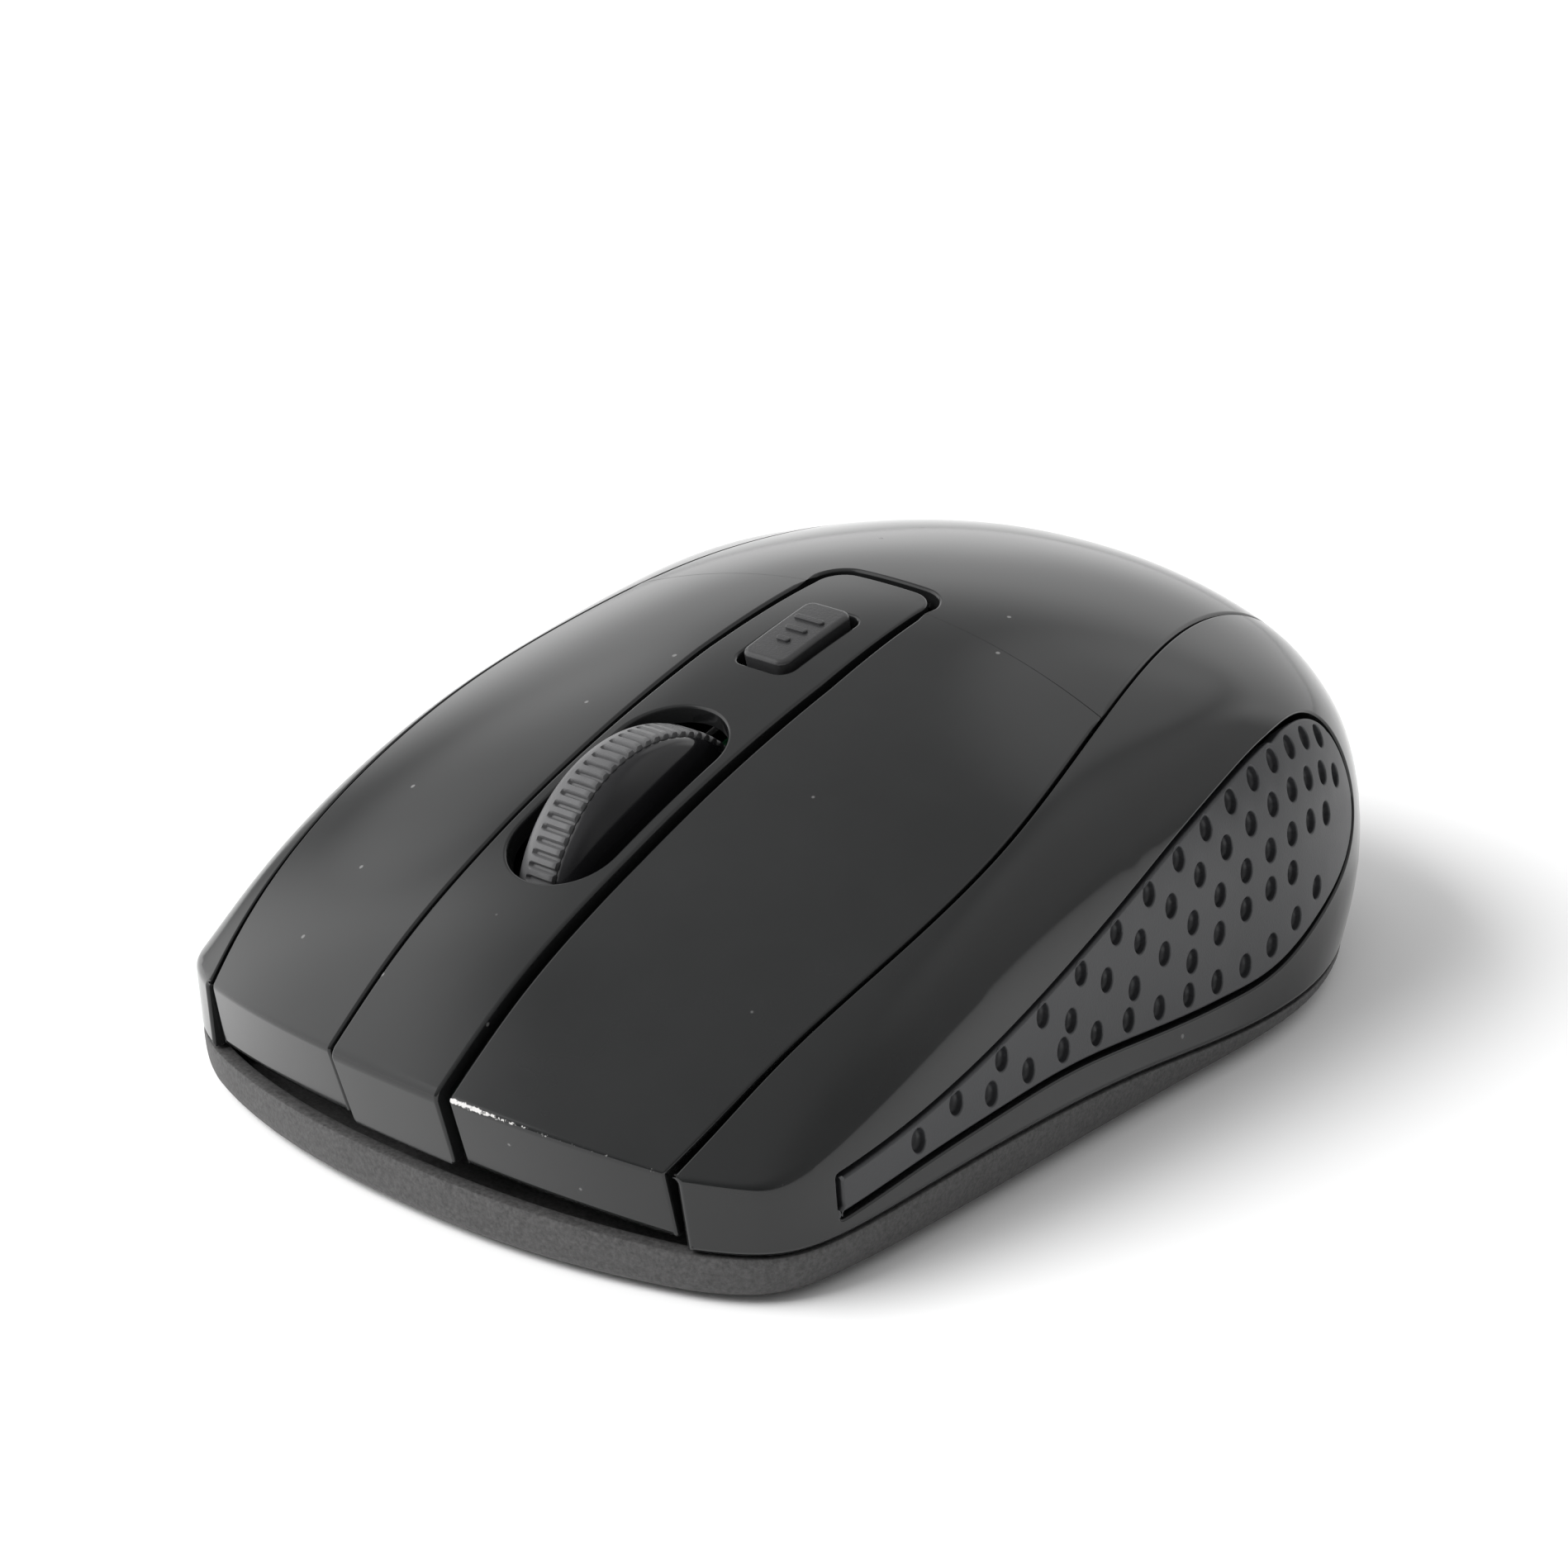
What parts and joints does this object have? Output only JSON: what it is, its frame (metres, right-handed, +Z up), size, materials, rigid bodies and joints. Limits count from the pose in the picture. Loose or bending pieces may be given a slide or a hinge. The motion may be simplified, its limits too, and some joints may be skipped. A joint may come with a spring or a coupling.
{
  "type": "computer mouse",
  "caption": "Wireless three-button computer mouse with a scroll wheel, a resolution button, dimpled side grips, and a sliding battery door underneath.",
  "frame": {"origin": "bottom centre of the bounding box, on the desk under the feet", "axes": "+Z up from the desk, -Y towards the front where the keys end, +Y towards the palm end, +X on the thumb side of a right hand"},
  "size_m": [0.0744, 0.1064, 0.0377],
  "materials": {
    "base": "fine spark texture",
    "battery_cell_a": "plain sleeve",
    "battery_cell_b": "plain sleeve",
    "battery_contact_front": "plated",
    "battery_contact_rear": "plated",
    "battery_door": "fine spark texture",
    "battery_spring_a": "plated",
    "battery_spring_b": "plated",
    "case_screw_left": "plated",
    "case_screw_right": "plated",
    "center_strip": "piano black gloss",
    "controller_chip": "plain",
    "cpi_board": "solder mask",
    "cpi_button": "satin",
    "cpi_switch": "plain",
    "cpi_switch_plunger": "plain",
    "foot_front_left": "low-friction sheet",
    "foot_front_right": "low-friction sheet",
    "foot_rear_left": "low-friction sheet",
    "foot_rear_right": "low-friction sheet",
    "left_grip": "satin, dimpled",
    "left_key": "piano black gloss",
    "left_side_panel": "piano black gloss",
    "left_switch": "plain",
    "left_switch_plunger": "plain",
    "main_board": "solder mask",
    "power_slider": "satin",
    "power_switch_body": "plated",
    "receiver_body": "gloss",
    "receiver_plug": "plated",
    "right_grip": "satin, dimpled",
    "right_key": "piano black gloss",
    "right_side_panel": "piano black gloss",
    "right_switch": "plain",
    "right_switch_plunger": "plain",
    "rotary_encoder": "plain",
    "sensor_chip": "plain",
    "sensor_led": "clear red",
    "sensor_lens": "clear moulded",
    "top_cover": "piano black gloss",
    "wheel_axle": "plain",
    "wheel_carriage": "plain",
    "wheel_hub": "piano black gloss",
    "wheel_switch": "plain",
    "wheel_switch_plunger": "plain",
    "wheel_tyre": "ribbed satin"
  },
  "bodies": {
    "shell": {"base": "base", "battery_cell_a": "battery_cell_a", "battery_cell_b": "battery_cell_b", "battery_contact_front": "battery_contact_front", "battery_contact_rear": "battery_contact_rear", "battery_spring_a": "battery_spring_a", "battery_spring_b": "battery_spring_b", "case_screw_left": "case_screw_left", "case_screw_right": "case_screw_right", "center_strip": "center_strip", "controller_chip": "controller_chip", "cpi_board": "cpi_board", "cpi_switch": "cpi_switch", "foot_front_left": "foot_front_left", "foot_front_right": "foot_front_right", "foot_rear_left": "foot_rear_left", "foot_rear_right": "foot_rear_right", "left_grip": "left_grip", "left_side_panel": "left_side_panel", "left_switch": "left_switch", "main_board": "main_board", "power_switch_body": "power_switch_body", "receiver_body": "receiver_body", "receiver_plug": "receiver_plug", "right_grip": "right_grip", "right_side_panel": "right_side_panel", "right_switch": "right_switch", "sensor_chip": "sensor_chip", "sensor_led": "sensor_led", "sensor_lens": "sensor_lens", "top_cover": "top_cover", "wheel_switch": "wheel_switch"},
    "left_key": {"left_key": "left_key"},
    "right_key": {"right_key": "right_key"},
    "cpi_button": {"cpi_button": "cpi_button"},
    "carriage": {"wheel_carriage": "wheel_carriage", "rotary_encoder": "rotary_encoder"},
    "wheel": {"wheel_hub": "wheel_hub", "wheel_tyre": "wheel_tyre", "wheel_axle": "wheel_axle"},
    "left_plunger": {"left_switch_plunger": "left_switch_plunger"},
    "right_plunger": {"right_switch_plunger": "right_switch_plunger"},
    "wheel_plunger": {"wheel_switch_plunger": "wheel_switch_plunger"},
    "cpi_plunger": {"cpi_switch_plunger": "cpi_switch_plunger"},
    "battery_door": {"battery_door": "battery_door"},
    "power_slider": {"power_slider": "power_slider"}
  },
  "joints": [
    {"name": "left_key_press", "type": "hinge", "parent": "shell", "child": "left_key", "pos_m": [0.018, 0.0075, 0.0332], "axis": [1, 0, 0], "range_deg": [0, 0.8], "stiffness_Nm_per_rad": 2},
    {"name": "right_key_press", "type": "hinge", "parent": "shell", "child": "right_key", "pos_m": [-0.018, 0.0075, 0.0332], "axis": [1, 0, 0], "range_deg": [0, 0.8], "stiffness_Nm_per_rad": 2},
    {"name": "cpi_press", "type": "slide", "parent": "shell", "child": "cpi_button", "axis": [0, 0.2368, -0.9716], "range_m": [0, 0.0005], "stiffness_N_per_m": 1500},
    {"name": "wheel_click", "type": "slide", "parent": "shell", "child": "carriage", "axis": [0, 0, -1], "range_m": [0, 0.0006], "stiffness_N_per_m": 2000},
    {"name": "wheel_spin", "type": "hinge", "parent": "carriage", "child": "wheel", "pos_m": [0, -0.0216, 0.0192], "axis": [1, 0, 0], "continuous": true},
    {"name": "left_plunger_press", "type": "slide", "parent": "shell", "child": "left_plunger", "axis": [0, 0, -1], "range_m": [0, 0.0007]},
    {"name": "right_plunger_press", "type": "slide", "parent": "shell", "child": "right_plunger", "axis": [0, 0, -1], "range_m": [0, 0.0007]},
    {"name": "wheel_plunger_press", "type": "slide", "parent": "shell", "child": "wheel_plunger", "axis": [0, 0, -1], "range_m": [0, 0.0007]},
    {"name": "cpi_plunger_press", "type": "slide", "parent": "shell", "child": "cpi_plunger", "axis": [0, 0.2368, -0.9716], "range_m": [0, 0.0006]},
    {"name": "door_slide", "type": "slide", "parent": "shell", "child": "battery_door", "axis": [0, 1, 0], "range_m": [0, 0.052]},
    {"name": "power_slide", "type": "slide", "parent": "shell", "child": "power_slider", "axis": [1, 0, 0], "range_m": [0, 0.003]}
  ],
  "couplings": [
    {"joint": "left_plunger_press", "follows": "left_key_press", "m_per_rad": 0.0424},
    {"joint": "right_plunger_press", "follows": "right_key_press", "m_per_rad": 0.0424},
    {"joint": "wheel_plunger_press", "follows": "wheel_click", "ratio": 1},
    {"joint": "cpi_plunger_press", "follows": "cpi_press", "ratio": 1}
  ]
}
